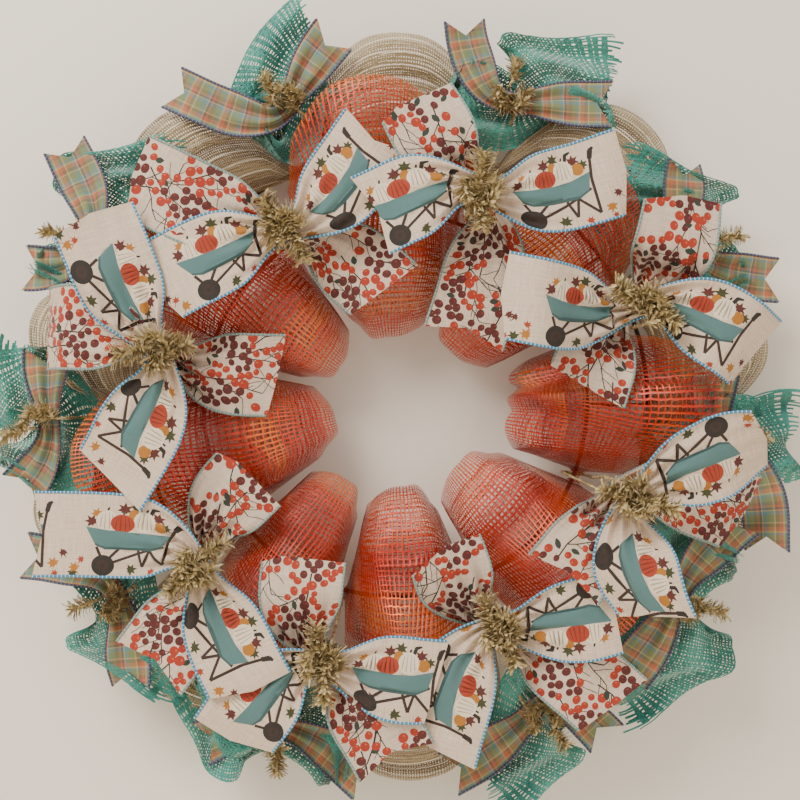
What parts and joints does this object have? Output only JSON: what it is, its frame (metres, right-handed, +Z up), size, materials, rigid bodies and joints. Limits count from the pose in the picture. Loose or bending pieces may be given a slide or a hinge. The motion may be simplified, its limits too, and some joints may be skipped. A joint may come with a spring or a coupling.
{
  "type": "harvest door wreath",
  "caption": "Ring-shaped door wreath of billowing mesh with printed ribbon bows, burlap strips and plaid tails tied to a double wire form, hung by its outer ring.",
  "frame": {"origin": "where a door hook bears: underside of the outer ring's wire at the top of the wreath, in the plane of the rings", "axes": "+Z up, the wreath's front faces -Y, +X to the viewer's right; the rings lie in the XZ plane"},
  "size_m": [0.6519, 0.1907, 0.6321],
  "materials": {
    "wire_form": "satin brown paint",
    "jute_mesh": "open woven tan mesh with pale stripes",
    "orange_mesh": "see-through woven plastic mesh with metallic threads",
    "teal_burlap": "loose burlap with frayed ends",
    "plaid_ribbon": "woven plaid with wired edges",
    "berry_print_ribbon": "linen-look ribbon printed with berries, wired edges",
    "cart_print_ribbon": "linen-look ribbon printed with garden carts of pumpkins, wired edges",
    "raffia_chaff": "straw-coloured paper chaff on twisted wire"
  },
  "bodies": {
    "root": {"wire_form": "wire_form", "tan_mesh": "jute_mesh", "orange_mesh": "orange_mesh", "burlap_strip_1": "teal_burlap", "burlap_strip_2": "teal_burlap", "burlap_strip_3": "teal_burlap", "burlap_strip_4": "teal_burlap", "burlap_strip_5": "teal_burlap", "burlap_strip_6": "teal_burlap", "burlap_strip_7": "teal_burlap", "burlap_strip_8": "teal_burlap", "burlap_strip_9": "teal_burlap", "burlap_strip_10": "teal_burlap", "plaid_ribbon_1": "plaid_ribbon", "plaid_ribbon_2": "plaid_ribbon", "plaid_ribbon_3": "plaid_ribbon", "plaid_ribbon_4": "plaid_ribbon", "plaid_ribbon_5": "plaid_ribbon", "plaid_ribbon_6": "plaid_ribbon", "plaid_ribbon_7": "plaid_ribbon", "plaid_ribbon_8": "plaid_ribbon", "plaid_ribbon_9": "plaid_ribbon", "plaid_ribbon_10": "plaid_ribbon", "outer_tie_1": "raffia_chaff", "outer_tie_2": "raffia_chaff", "outer_tie_3": "raffia_chaff", "outer_tie_4": "raffia_chaff", "outer_tie_5": "raffia_chaff", "outer_tie_6": "raffia_chaff", "outer_tie_7": "raffia_chaff", "outer_tie_8": "raffia_chaff", "outer_tie_9": "raffia_chaff", "outer_tie_10": "raffia_chaff", "berry_ribbon_1": "berry_print_ribbon", "berry_ribbon_2": "berry_print_ribbon", "berry_ribbon_3": "berry_print_ribbon", "berry_ribbon_4": "berry_print_ribbon", "berry_ribbon_5": "berry_print_ribbon", "berry_ribbon_6": "berry_print_ribbon", "berry_ribbon_7": "berry_print_ribbon", "berry_ribbon_8": "berry_print_ribbon", "cart_ribbon_1": "cart_print_ribbon", "cart_ribbon_2": "cart_print_ribbon", "cart_ribbon_3": "cart_print_ribbon", "cart_ribbon_4": "cart_print_ribbon", "cart_ribbon_5": "cart_print_ribbon", "cart_ribbon_6": "cart_print_ribbon", "cart_ribbon_7": "cart_print_ribbon", "cart_ribbon_8": "cart_print_ribbon", "inner_tie_1": "raffia_chaff", "inner_tie_2": "raffia_chaff", "inner_tie_3": "raffia_chaff", "inner_tie_4": "raffia_chaff", "inner_tie_5": "raffia_chaff", "inner_tie_6": "raffia_chaff", "inner_tie_7": "raffia_chaff", "inner_tie_8": "raffia_chaff"}
  },
  "joints": []
}
